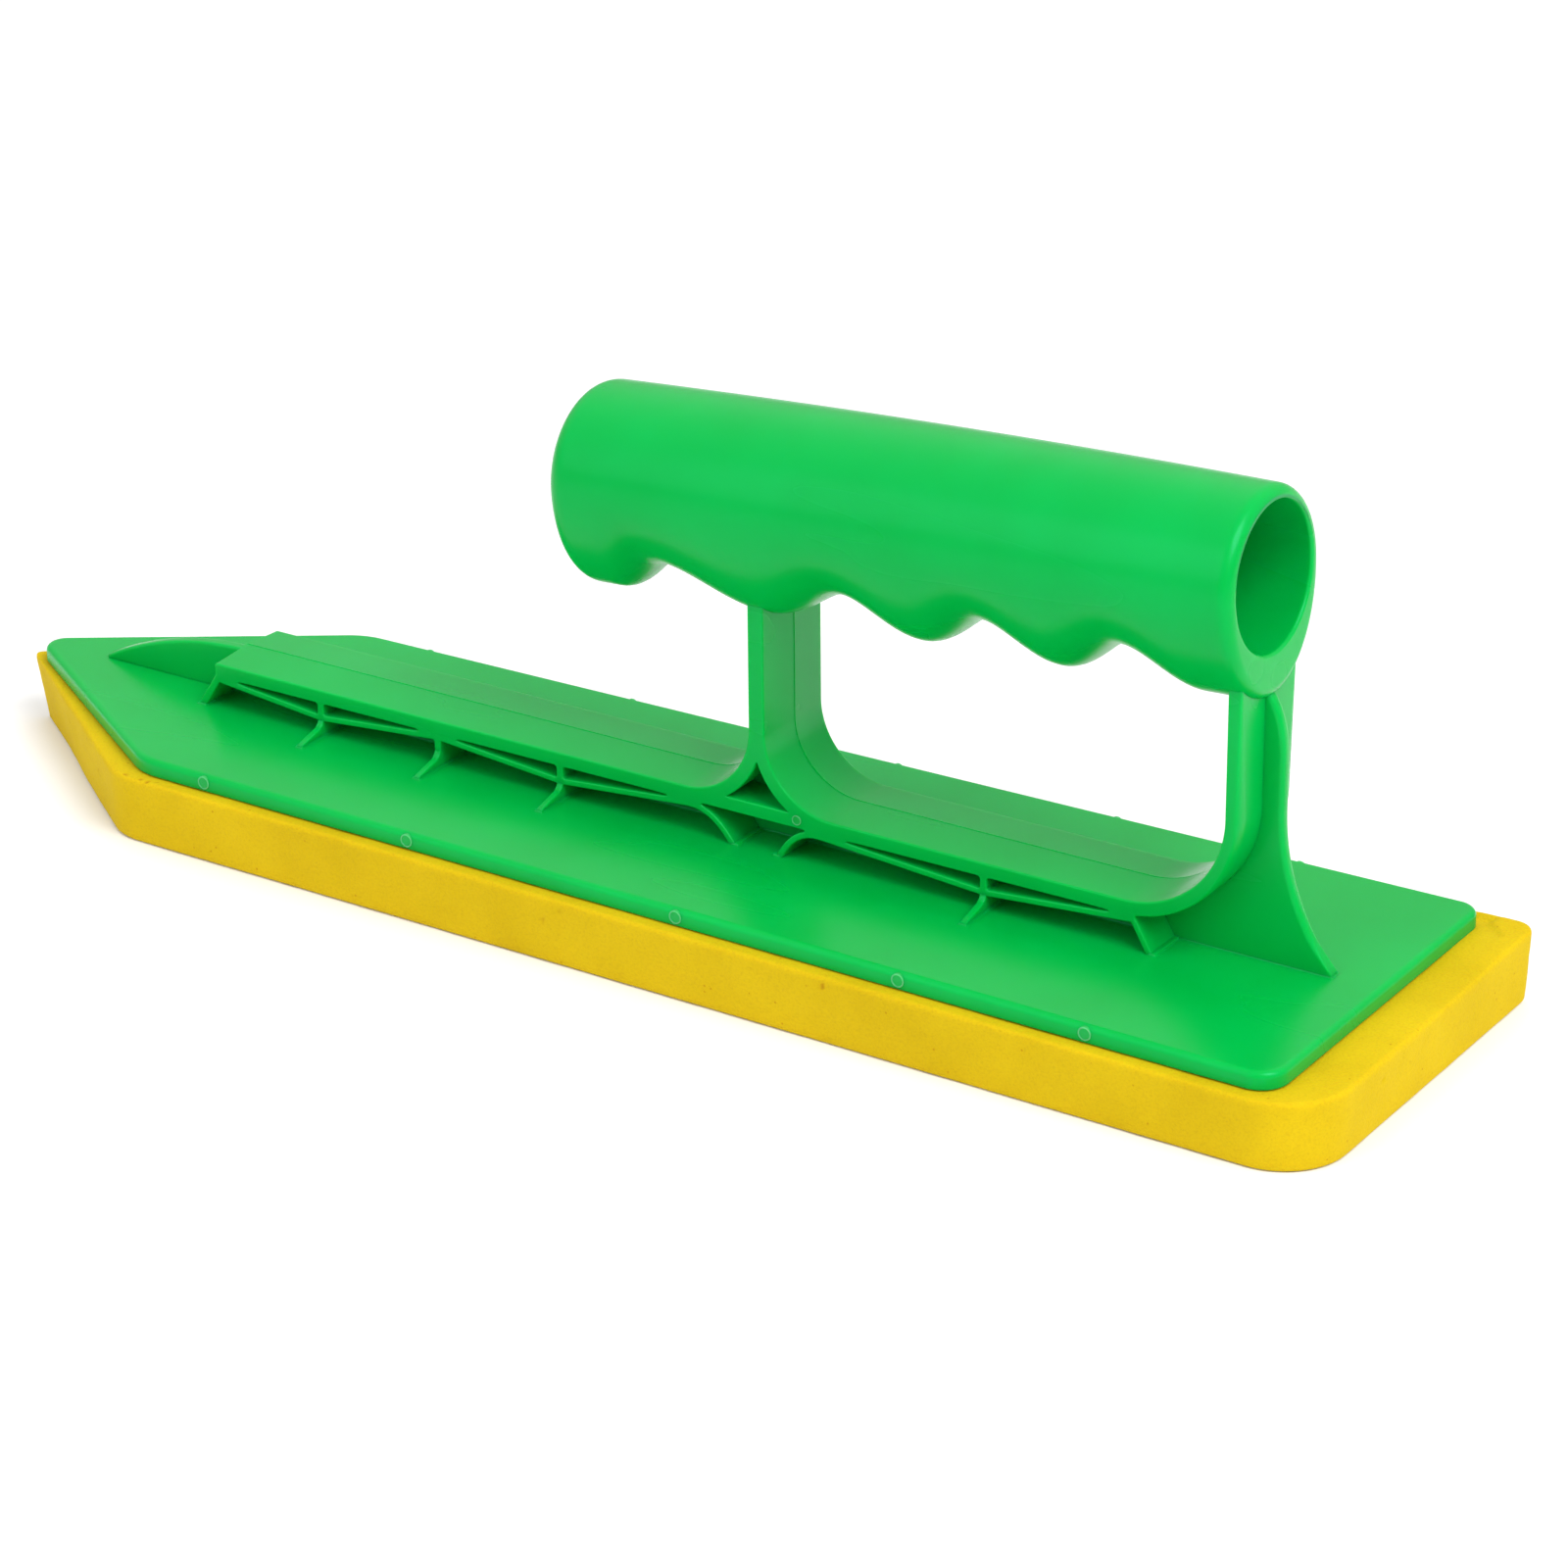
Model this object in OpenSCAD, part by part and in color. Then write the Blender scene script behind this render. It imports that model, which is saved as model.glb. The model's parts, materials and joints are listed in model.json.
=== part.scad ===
// Grout float with a glued foam sole and a one-piece ribbed plastic body.
// Units are millimetres. +X runs from the pointed nose to the open end of the handle, +Z is up,
// and the origin is the middle of the rectangle that the sole covers, on the ground.
// Lengths along the float are measured forward from the rear edge of the base plate.

/* [Base plate] */
// Width of the plate at its rear edge
plate_w = 72; // [66:0.5:90]
// Width of the plate at the shoulders, where the nose begins
shoulder_w = 65; // [60:0.5:66]
// Thickness of the plate
plate_t = 3; // [2.5:0.1:4]
// Distance from the rear edge to the shoulders
shoulder_at = 222; // [215:1:228]
// Distance from the rear edge to the point where the two nose edges would meet
nose_at = 272; // [266:1:285]
// Corner radius at the rear of the plate
plate_rear_r = 4.5; // [3:0.5:12]
// Corner radius at the shoulders
shoulder_r = 12; // [6:1:20]
// Radius of the nose tip
nose_r = 3.5; // [2:0.5:6]

/* [Foam sole] */
// Thickness of the foam
foam_t = 12; // [8:0.5:20]
// How far the foam stands out past the sides of the plate
foam_margin = 2.5; // [1:0.5:6]
// How far the foam stands out past the rear edge of the plate
foam_rear_margin = 8.6; // [2:0.2:14]
// Distance from the rear edge of the plate to the foam's shoulders
foam_shoulder_at = 226; // [222:0.5:230]
// Distance from the rear edge of the plate to the point where the foam's nose edges would meet
foam_nose_at = 273.2; // [272:0.2:280]
// Radius of the foam's nose tip
foam_nose_r = 1.2; // [0.6:0.2:4]
// Radius of the hand-cut rear corner of the foam on the -Y side
foam_corner_r = 12; // [4:0.5:16]
// Radius of the hand-cut rear corner of the foam on the +Y side
foam_far_corner_r = 4; // [3:0.5:16]
// Thickness of the adhesive film between foam and plate
film_t = 0.2; // [0.1:0.1:0.4]

/* [Rail and webs] */
// Width of the rail, the posts and the struts
rail_w = 17.5; // [15:0.5:20]
// Height of the rail's edges above the plate
rail_h = 8.5; // [8:0.1:10]
// Thickness of the rail and of the strips that form the posts
rail_t = 2.5; // [2:0.1:3]
// Height of the shallow roof on top of the rail
rail_crown = 0.7; // [0.3:0.1:1.2]
// Distance from the rear edge of the plate to the front end of the rail
rail_front_at = 224; // [220:1:228]
// Thickness of the central web, the nose fin and the rear gusset
web_t = 2.2; // [1.6:0.1:3]
// Distance from the rear edge of the plate to the tip of the nose fin
fin_tip_at = 255; // [250:1:258]
// Distance from the rear edge of the plate to the tip of the rear gusset
gusset_tip_at = 8.5; // [6:0.5:10]

/* [Ribs and struts] */
// Thickness of a cross rib
rib_t = 1.3; // [1:0.1:1.8]
// Height above the plate at which a rib starts to flare outwards
rib_corner_h = 2.7; // [2:0.1:3.5]
// Distance between the feet of a rib
rib_foot_w = 30; // [26:1:34]
// Thickness of a strut
strut_t = 1.1; // [0.9:0.1:1.4]

/* [Posts] */
// Distance from the rear edge of the plate to the front face of the middle post
middle_post_at = 112.3; // [111:0.1:113]
// Thickness of the middle post
middle_post_t = 3; // [2.6:0.1:3.4]
// Inner radius of the two curves at the foot of the middle post
middle_curve_r = 13; // [11:0.5:15]
// Distance from the rear edge of the plate to the front face of the rear post
rear_post_at = 24; // [23:0.1:25]
// Inner radius of the curve at the foot of the rear post
rear_curve_r = 18; // [15:0.5:20]

/* [Handle] */
// Outer diameter of the handle at the middle of its length
handle_d = 31.7; // [30.8:0.1:32.5]
// Outer diameter of the handle at its ends
handle_end_d = 30; // [29.2:0.1:30.6]
// Diameter of the blind bore in the handle
bore_d = 24.4; // [20:0.1:24.6]
// Height of the bore's axis above the handle's axis
bore_rise = 0.6; // [0:0.1:0.8]
// Length of the handle
handle_l = 127; // [125:1:130]
// Thickness of the closed front end
end_wall_t = 3.5; // [2:0.5:6]
// Height of the handle's axis above the plate, at its rear end
axis_h = 64.2; // [62:0.2:70]
// Upward tilt of the handle towards the rear, in degrees
handle_tilt = 3; // [1:0.5:4]
// Distance from the rear edge of the plate to the rear end of the handle
handle_end_at = 21; // [20:0.5:22]
// Depth of the finger ridges below the axis of the handle
ridge_depth = 19.1; // [18:0.1:20.5]
// Depth of the valleys between them, below the axis
valley_depth = 13.3; // [13.2:0.1:14.5]
// Radius of the ridges' rounded underside
ridge_r = 12; // [10:0.5:13]

/* [Hidden] */
$fn = 64;

plastic = [0.13, 0.72, 0.35];
foam = [0.91, 0.77, 0.13];
glue = [0.86, 0.84, 0.72];

eps = 0.02;          // overrun of a cut past the face it opens
fillet_steps = 8;    // straight pieces in a rounded corner of an outline
small = 0.6;         // radius of the small roundings on strip ends
foot_blunt = 0.5;    // height of the blunt end of a fin or gusset

film_z = foam_t;
plate_z = film_z + film_t;
plate_top = plate_z + plate_t;
rail_under = rail_h - rail_t;
nose_half_angle = atan(shoulder_w / 2 / (nose_at - shoulder_at));
side_taper = (plate_w - shoulder_w) / 2 / shoulder_at;
foam_shoulder_y = shoulder_w / 2 + foam_margin;
foam_half_angle = atan(foam_shoulder_y / (foam_nose_at - foam_shoulder_at));
foam_tip_at = foam_nose_at - foam_nose_r / sin(foam_half_angle) + foam_nose_r;
center_at = (foam_tip_at - foam_rear_margin) / 2;  // from the plate's rear edge to the origin

rib_at = [201, 176, 150.5, 67.5];  // from the plate's rear edge, front rib first
front_leg_at = [120.5, 115.2];     // top and foot of the leg that ends the front truss
middle_leg_at = [101, 107];        // top and foot of the leg that starts the rear truss
rear_leg_at = [39.2, 36.3];        // top and foot of the leg that ends the rear truss
end_wall_foot_at = rail_front_at + 4;
front_wall_t = 1.6;                // thickness of the wall under the rail's front end, along X
handle_r = handle_d / 2;
handle_edge_r = 2.2;               // rounding of the handle's outer end edges
// Ridges and valleys in turn, measured from the handle's rear end; the fourth ridge is on the middle post.
grip_at = [9.5, 23.5, 35, 48.5, 60.5, 74.5, 90, 110.5, 119.5];

// Points of an arc about c, from angle a0 to a1.
function arc(c, r, a0, a1, n = fillet_steps) =
    [for (i = [0:n]) let (a = a0 + (a1 - a0) * i / n) c + r * [cos(a), sin(a)]];

function unit(v) = v / norm(v);
function turn(v) = [-v[1], v[0]];

// Closed outline through corners p, each rounded to its own radius; corners run anticlockwise.
function rounded(p, r) = [
    for (i = [0:len(p) - 1])
        let (
            before = unit(p[(i + len(p) - 1) % len(p)] - p[i]),
            after = unit(p[(i + 1) % len(p)] - p[i]),
            half = acos(before * after) / 2,
            middle = p[i] + unit(before + after) * r[i] / sin(half),
            start = atan2(-turn(before)[1], -turn(before)[0]) + 180,
            sweep = 180 - 2 * half
        )
        for (q = arc(middle, r[i], start, start + sweep)) q
];

// Corners of the plate's pentagon, grown by a margin all round.
function pentagon(margin) =
    let (
        tip = nose_at + margin / sin(nose_half_angle),
        shift = margin * tan(nose_half_angle / 2),
        rear_y = plate_w / 2 + margin + margin * side_taper,
        shoulder_y = shoulder_w / 2 + margin - shift * side_taper
    )
    [
        [margin, -rear_y], [margin, rear_y], [-shoulder_at - shift, shoulder_y], [-tip, 0],
        [-shoulder_at - shift, -shoulder_y],
    ];

module plate_outline(margin) {
    rear_r = plate_rear_r + margin;
    polygon(rounded(pentagon(margin), [rear_r, rear_r, shoulder_r, nose_r, shoulder_r]));
}

// Outline of the foam, cut a little blunter at the nose than the plate is.
module foam_outline() {
    rear_y = plate_w / 2 + foam_margin + foam_rear_margin * side_taper;
    x = foam_shoulder_at;
    y = foam_shoulder_y;
    polygon(rounded(
        [[foam_rear_margin, -rear_y], [foam_rear_margin, rear_y], [-x, y], [-foam_nose_at, 0], [-x, -y]],
        [foam_corner_r, foam_far_corner_r, shoulder_r, foam_nose_r, shoulder_r]
    ));
}

// Places children measured from the plate's rear edge, with z from the given height.
module from_rear(z = 0) {
    translate([center_at, 0, z]) children();
}

// Extrudes a side profile, drawn as [x, height above the plate], across the float.
module across(w) {
    from_rear(plate_top) rotate([90, 0, 0]) linear_extrude(w, center = true) children();
}

module foam_sole() {
    color(foam) from_rear() linear_extrude(foam_t) foam_outline();
}

module adhesive_film() {
    inset = 1;
    color(glue) from_rear(film_z) linear_extrude(film_t) plate_outline(-inset);
}

module base_plate() {
    color(plastic) from_rear(plate_z) linear_extrude(plate_t) plate_outline(0);
}

// Straight rail with a shallow roof; it runs on under the middle post to the rear curve.
module rail_bar() {
    x0 = -rail_front_at;
    x1 = -rear_post_at - rear_curve_r;
    from_rear(plate_top) translate([x0, 0, 0]) rotate([90, 0, 90]) linear_extrude(x1 - x0)
        polygon([
            [-rail_w / 2, rail_under], [rail_w / 2, rail_under], [rail_w / 2, rail_h],
            [0, rail_h + rail_crown], [-rail_w / 2, rail_h],
        ]);
}

module rail_strip() {
    color(plastic) rail_bar();
}

// Leaning wall that closes the front end of the rail down to the plate.
module rail_end_wall() {
    color(plastic) across(rail_w)
        polygon([
            [-end_wall_foot_at, 0], [-end_wall_foot_at + front_wall_t, 0],
            [-rail_front_at + front_wall_t, rail_under], [-rail_front_at, rail_under],
        ]);
}

// Fin on the nose, with a rounded top that meets the rail's crown.
module nose_fin() {
    run = fin_tip_at - rail_front_at;
    rise = rail_h - foot_blunt;
    r = (run * run + rise * rise) / (2 * rise);
    sweep = asin(run / r);
    color(plastic) difference() {
        across(web_t)
            polygon(concat(
                [[-end_wall_foot_at + front_wall_t, 0]], [[-rail_front_at, rail_under]],
                arc([-rail_front_at, rail_h - r], r, 90, 90 + sweep, 16),
                [[-fin_tip_at, 0]]
            ));
        rail_end_wall();
    }
}

// Web on the centre plane, between the plate and the rail.
module keel_web() {
    x0 = -end_wall_foot_at;
    x1 = -rear_post_at - rear_curve_r;
    color(plastic) difference() {
        across(web_t)
            polygon([[x0, 0], [x1, 0], [x1, rail_under], [-rail_front_at, rail_under]]);
        rail_end_wall();
    }
}

// Side profile of the web behind the rear post, from the plate up into the handle.
module gusset_profile() {
    depth = 3.6;            // how far the web stands out behind the post
    back = -rear_post_at + rail_t + depth;
    foot = -gusset_tip_at;
    flare_h = 26;           // height at which the rear edge starts to curve out
    top = axis_h - ridge_depth / 2;
    run = foot - back;
    rise = flare_h - foot_blunt;
    r = (run * run + rise * rise) / (2 * run);
    sweep = asin(rise / r);
    polygon(concat(
        [[-rear_post_at - rear_curve_r, 0], [foot, 0]],
        arc([back + r, flare_h], r, 180 + sweep, 180, 16),
        [[back, top - 18], [back - 1, top - 11], [back - depth, top - 7], [-rear_post_at, top - 7],
         [-rear_post_at - rear_curve_r, rail_under]]
    ));
}

module rear_gusset() {
    color(plastic) difference() {
        across(web_t) gusset_profile();
        rear_post_strip(rail_w + 1);
        across(rail_w) rear_inside();
        handle_outside();
    }
}

// Cross rib: two plates, one on each side of the web, that flare out to feet on the base plate.
module cross_rib(i) {
    color(plastic) for (side = [-1, 1])
        from_rear(plate_top) translate([-rib_at[i] - rib_t / 2, 0, 0]) rotate([90, 0, 90])
            linear_extrude(rib_t)
                polygon([for (q = [
                    [web_t / 2, 0], [rib_foot_w / 2, 0], [rib_foot_w / 2 - 0.6, 0.5],
                    [rail_w / 2 + 1, rib_corner_h - 1], [rail_w / 2, rib_corner_h],
                    [rail_w / 2, rail_under], [web_t / 2, rail_under],
                ]) [side * q[0], q[1]]]);
}

// One straight stretch of a strut, from p to q, with a round end at q.
module stretch(p, q) {
    n = turn(unit(q - p)) * strut_t / 2;
    polygon([p - n, q - n, q + n, p + n]);
    translate(q) circle(r = strut_t / 2, $fn = 24);
}

module strut_path(path) {
    for (i = [0:len(path) - 2]) stretch(path[i], path[i + 1]);
}

module truss(path) {
    difference() {
        across(rail_w) intersection() {
            strut_path(path);
            translate([-rail_front_at - 2, 0]) square([rail_front_at, rail_under]);
        }
        across(web_t) translate([-rail_front_at - 2, -1]) square([rail_front_at, rail_h]);
        for (i = [0:3]) cross_rib(i);
        rail_end_wall();
    }
}

strut_low = rib_corner_h + strut_t / 2;
strut_high = rail_under - strut_t / 2;

module front_truss() {
    color(plastic) truss([
        [-rail_front_at + 1.5, strut_high], [-rib_at[0], strut_low], [-rib_at[1], strut_high],
        [-rib_at[2], strut_low], [-front_leg_at[0] - 2, strut_high], [-front_leg_at[0], strut_high - 0.5],
        [-front_leg_at[0] + 2.2, 3.6], [-front_leg_at[1], 0],
    ]);
}

module rear_truss() {
    color(plastic) truss([
        [-middle_leg_at[1], 0], [-middle_leg_at[0] - 3.6, 3.7], [-middle_leg_at[0] - 1.4, strut_high - 0.4],
        [-middle_leg_at[0] + 1.2, strut_high - 0.1], [-rib_at[3], strut_low],
        [-rear_leg_at[0] - 0.8, strut_high], [-rear_leg_at[1], 0],
    ]);
}

// Side profile of the middle post: a column and the two strips that curve into the rail.
module middle_profile() {
    front = -middle_post_at;
    back = front + middle_post_t;
    z = rail_h + middle_curve_r;
    r = middle_curve_r;
    translate([front, z]) square([middle_post_t, axis_h - z]);
    difference() {
        translate([front - r, rail_h]) square([2 * r + middle_post_t, r]);
        translate([front - r, z]) circle(r = r);
        translate([back + r, z]) circle(r = r);
    }
}

// Triangle left open between the two curved strips and the rail.
module middle_recess() {
    front = -middle_post_at;
    back = front + middle_post_t;
    z = rail_h + middle_curve_r;
    r = middle_curve_r + rail_t;
    difference() {
        translate([front - middle_curve_r, rail_h]) square([2 * middle_curve_r + middle_post_t, r]);
        translate([front - middle_curve_r, z]) circle(r = r);
        translate([back + middle_curve_r, z]) circle(r = r);
    }
}

module middle_post() {
    recess_w = (rail_w - web_t) / 2 + 1;
    color(plastic) difference() {
        across(rail_w) middle_profile();
        for (side = [-1, 1]) translate([0, side * (web_t / 2 + recess_w / 2), 0])
            across(recess_w) middle_recess();
        rail_bar();
        handle_outside();
    }
}

// Side profile of the rear post: a strip that rises out of the rail's end.
module rear_profile() {
    z = rail_h + rear_curve_r;
    c = [-rear_post_at - rear_curve_r, z];
    translate([-rear_post_at, z]) square([rail_t, axis_h - z]);
    intersection() {
        difference() {
            translate(c) circle(r = rear_curve_r + rail_t);
            translate(c) circle(r = rear_curve_r);
        }
        translate([c[0], 0]) square([rear_curve_r + rail_t, z]);
    }
}

// Room on the inner side of the rear curve, which belongs to the finger gap.
module rear_inside() {
    z = rail_h + rear_curve_r;
    c = [-rear_post_at - rear_curve_r, z];
    intersection() {
        translate(c) circle(r = rear_curve_r);
        translate([c[0], 0]) square([rear_curve_r, z]);
    }
    translate([c[0], z]) square([rear_curve_r, axis_h - z]);
}

module rear_post_strip(w) {
    across(w) rear_profile();
}

module rear_post() {
    color(plastic) difference() {
        rear_post_strip(rail_w);
        handle_outside();
    }
}

// Places children in the handle's own frame: axis along X, its rear end at the origin.
module on_handle() {
    from_rear(plate_top) translate([-handle_end_at, 0, axis_h]) rotate([0, -handle_tilt, 0]) children();
}

// Radius of the handle's slight barrel shape, at a distance from its rear end.
function barrel(s) = handle_r - (handle_d - handle_end_d) / 2 * pow(2 * s / handle_l - 1, 2);

// Half profile of the handle tube, with rounded ends, turned about its axis.
module tube_solid() {
    e = handle_edge_r;
    steps = 16;
    r = handle_end_d / 2 - e;
    middle = [for (i = [1:steps - 1]) let (s = e + (handle_l - 2 * e) * i / steps) [barrel(s), s]];
    rotate([0, -90, 0]) rotate_extrude()
        polygon(concat([[0, 0]], arc([r, e], e, -90, 0), middle, arc([r, handle_l - e], e, 0, 90),
                       [[0, handle_l]]));
}

// Depth of the underside at a distance from the rear end: a smooth wave from ridge to ridge.
function wave(s) =
    let (
        last = len(grip_at) - 1,
        at = min(max(s, grip_at[0]), grip_at[last] - eps),
        i = max([for (k = [0:last - 1]) if (grip_at[k] <= at) k]),
        rise = (1 - cos(180 * (at - grip_at[i]) / (grip_at[i + 1] - grip_at[i]))) / 2,
        down = i % 2 == 0 ? rise : 1 - rise
    )
    ridge_depth + (valley_depth - ridge_depth) * down;

// Everything above the wave, as a side profile.
module wave_profile() {
    steps = 64;
    polygon(concat(
        [[0, handle_d]], [[-handle_l, handle_d]],
        [for (i = [0:steps]) let (s = handle_l * (1 - i / steps)) [-s, -wave(s)]]
    ));
}

// Cross-section of the grip's lower half: the tube's circle drawn down to a rounded keel.
module keel_section() {
    r = handle_end_d / 2;
    low = ridge_depth - ridge_r;
    a = asin((r - ridge_r) / low);
    polygon([
        [-r * cos(a), -r * sin(a)], [-ridge_r * cos(a), -low - ridge_r * sin(a)],
        [ridge_r * cos(a), -low - ridge_r * sin(a)], [r * cos(a), -r * sin(a)],
    ]);
    translate([0, -low]) circle(r = ridge_r);
}

module handle_outside() {
    on_handle() intersection() {
        union() {
            tube_solid();
            rotate([90, 0, 90]) translate([0, 0, -handle_l + small]) linear_extrude(handle_l - 2 * small)
                keel_section();
        }
        rotate([90, 0, 0]) linear_extrude(2 * handle_d, center = true) wave_profile();
    }
}

module handle_grip() {
    depth = handle_l - end_wall_t;
    color(plastic) difference() {
        handle_outside();
        on_handle() translate([0, 0, bore_rise]) rotate([0, -90, 0]) translate([0, 0, -eps])
            cylinder(r = bore_d / 2, h = depth + eps);
    }
}

foam_sole();
adhesive_film();
base_plate();
rail_strip();
rail_end_wall();
nose_fin();
keel_web();
rear_gusset();
cross_rib(0);  // cross_rib_1
cross_rib(1);  // cross_rib_2
cross_rib(2);  // cross_rib_3
cross_rib(3);  // cross_rib_4
front_truss();
rear_truss();
middle_post();
rear_post();
handle_grip();
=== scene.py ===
"""Looks of the grout float: a green ribbed moulding with a finger grip, on a yellow foam sole.

Shapes are worked out in millimetres from a datum on the base plate: x = 0 at the plate's rear edge,
y = 0 on the centre plane and z = 0 on the plate's top. The nose is at negative x.
"""

import json
import math

import bmesh
import bpy
import numpy as np
from mathutils import Matrix, Vector, noise
from mathutils.geometry import delaunay_2d_cdt

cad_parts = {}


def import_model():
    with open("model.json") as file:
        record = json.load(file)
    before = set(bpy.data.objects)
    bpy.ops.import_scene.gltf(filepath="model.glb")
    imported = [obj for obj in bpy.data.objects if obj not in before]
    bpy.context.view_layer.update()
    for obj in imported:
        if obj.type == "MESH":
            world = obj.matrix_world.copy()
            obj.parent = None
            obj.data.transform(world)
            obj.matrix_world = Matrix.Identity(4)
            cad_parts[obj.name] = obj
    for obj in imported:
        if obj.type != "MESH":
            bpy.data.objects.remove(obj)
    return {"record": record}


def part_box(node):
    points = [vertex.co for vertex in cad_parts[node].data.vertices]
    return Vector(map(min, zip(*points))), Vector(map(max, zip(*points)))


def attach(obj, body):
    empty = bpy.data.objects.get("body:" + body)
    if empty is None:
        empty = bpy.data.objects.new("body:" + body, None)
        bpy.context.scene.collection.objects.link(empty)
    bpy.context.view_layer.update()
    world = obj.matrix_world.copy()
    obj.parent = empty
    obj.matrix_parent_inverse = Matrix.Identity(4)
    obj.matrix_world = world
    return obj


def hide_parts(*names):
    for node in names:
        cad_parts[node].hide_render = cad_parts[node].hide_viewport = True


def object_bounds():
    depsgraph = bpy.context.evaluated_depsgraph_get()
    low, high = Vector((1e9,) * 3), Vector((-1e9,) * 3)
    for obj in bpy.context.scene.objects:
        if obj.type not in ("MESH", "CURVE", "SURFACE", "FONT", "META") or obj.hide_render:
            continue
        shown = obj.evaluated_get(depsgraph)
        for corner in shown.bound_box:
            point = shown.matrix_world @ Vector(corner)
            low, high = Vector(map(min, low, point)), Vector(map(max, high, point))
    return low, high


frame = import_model()
cad_low, cad_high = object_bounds()

# ---------------------------------------------------------------- datum and sizes, millimetres

MM = 0.001
PLATE_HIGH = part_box("base_plate")[1]
DATUM = np.array([PLATE_HIGH.x, 0.0, PLATE_HIGH.z])


def metres(points):
    """Design millimetres to the row frame in metres."""
    return np.asarray(points, float) * MM + DATUM


def span(node, axis):
    """Lowest and highest value of a CAD node along an axis, in design millimetres."""
    return tuple((corner[axis] - DATUM[axis]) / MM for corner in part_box(node))


PLATE_T = -span("base_plate", 2)[0]
PLATE_W = 2 * span("base_plate", 1)[1]
SHOULDER_W = 65.0
SHOULDER_AT = 222.0
NOSE_AT = 272.0
PLATE_REAR_R = 5.0
PLATE_FAR_R = 3.8
SHOULDER_R = 12.0
NOSE_R = 3.5
NOSE_HALF_ANGLE = math.atan(SHOULDER_W / 2 / (NOSE_AT - SHOULDER_AT))
SIDE_TAPER = (PLATE_W - SHOULDER_W) / 2 / SHOULDER_AT

FOAM_LOW, FOAM_HIGH = span("foam_sole", 2)
FOAM_MARGIN = 2.5
FOAM_REAR_MARGIN = span("foam_sole", 0)[1]
FOAM_SHOULDER = (226.0, SHOULDER_W / 2 + FOAM_MARGIN)
FOAM_NOSE_AT = 273.2
FOAM_NOSE_R = 1.2
FOAM_NEAR_R = 12.0
FOAM_FAR_R = 3.5

RAIL_FRONT, RAIL_REAR = span("rail_strip", 0)
RAIL_HALF = span("rail_strip", 1)[1]
RAIL_UNDER, RAIL_PEAK = span("rail_strip", 2)
RAIL_CROWN = 0.7
RAIL_TOP = RAIL_PEAK - RAIL_CROWN
STRIP_T = RAIL_TOP - RAIL_UNDER
WEB_HALF = 1.1
END_WALL_FOOT = span("rail_end_wall", 0)[0]
END_WALL_T = 1.6

COLUMN_T = 3.0
MIDDLE_LOW, MIDDLE_HIGH = span("middle_post", 0)
MIDDLE_R = (MIDDLE_HIGH - MIDDLE_LOW - COLUMN_T) / 2
COLUMN_FRONT = MIDDLE_LOW + MIDDLE_R
COLUMN_REAR = COLUMN_FRONT + COLUMN_T
REAR_CURVE_X, REAR_POST_BACK = span("rear_post", 0)
REAR_R = REAR_POST_BACK - STRIP_T - REAR_CURVE_X
REAR_POST_FRONT = REAR_POST_BACK - STRIP_T

FIN_TIP = span("nose_fin", 0)[0]
GUSSET_TIP = span("rear_gusset", 0)[1]
GUSSET_DEPTH = 3.6
GUSSET_FLARE = 26.0

RIB_HALF_T = 0.65
RIB_FOOT = 15.0
RIB_CORNER = 2.7
RIB_X = [sum(span(f"cross_rib_{i}", 0)) / 2 for i in (1, 2, 3, 4)]
STRUT_HALF_T = 0.55
STRUT_LOW = RIB_CORNER + STRUT_HALF_T
STRUT_HIGH = RAIL_UNDER - STRUT_HALF_T
FRONT_LEG_FOOT = -115.2
MIDDLE_LEG_FOOT = -107.0
REAR_LEG_FOOT = -36.3

BORE = next(m for m in frame["record"]["mounts"] if m["name"] == "handle_bore")
BORE_R = BORE["dims"]["r_mm"]
BORE_L = BORE["dims"]["length_mm"]
BORE_RISE = 0.6
GRIP_END_T = 3.5
GRIP_L = BORE_L + GRIP_END_T
GRIP_BACK = np.array(BORE["axis"])
GRIP_UP = np.cross(GRIP_BACK, [0.0, 1.0, 0.0])
GRIP_ORIGIN = (np.array(BORE["pos_m"]) - DATUM) / MM - BORE_RISE * GRIP_UP
GRIP_R = 15.85
GRIP_END_R = 15.0
RIDGE_DEPTH = 19.1
VALLEY_DEPTH = 13.2
GRIP_AT = [9.5, 23.5, 35.0, 48.5, 60.5, 74.5, 90.0, 110.5, 119.5]     # ridges and valleys in turn


# ---------------------------------------------------------------- small shape helpers

def arc(cx, cz, r, start, end, steps):
    """Points on an arc, angles in degrees."""
    a = np.radians(np.linspace(start, end, steps + 1))
    return np.c_[cx + r * np.cos(a), cz + r * np.sin(a)]


def rounded(corners, radii, steps=8):
    """Closed anticlockwise outline with each corner rounded to its own radius."""
    points = []
    for i, (corner, r) in enumerate(zip(corners, radii)):
        p = Vector(corner)
        before = (Vector(corners[i - 1]) - p).normalized()
        after = (Vector(corners[(i + 1) % len(corners)]) - p).normalized()
        half = before.angle(after) / 2
        centre = p + (before + after).normalized() * r / math.sin(half)
        out = math.atan2(*reversed(-(before + after).normalized()))
        turn = math.pi / 2 - half
        for a in np.linspace(out - turn, out + turn, steps + 1):
            points.append(centre + r * Vector((math.cos(a), math.sin(a))))
    return np.array(points)


def pentagon(side, rear):
    """Corners of the plate's outline, grown at the sides and nose, and at the rear."""
    shift = side * math.tan(NOSE_HALF_ANGLE / 2)
    rear_y = PLATE_W / 2 + side + rear * SIDE_TAPER
    shoulder_y = SHOULDER_W / 2 + side - shift * SIDE_TAPER
    tip = NOSE_AT + side / math.sin(NOSE_HALF_ANGLE)
    return [(rear, -rear_y), (rear, rear_y), (-SHOULDER_AT - shift, shoulder_y), (-tip, 0.0),
            (-SHOULDER_AT - shift, -shoulder_y)]


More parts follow.
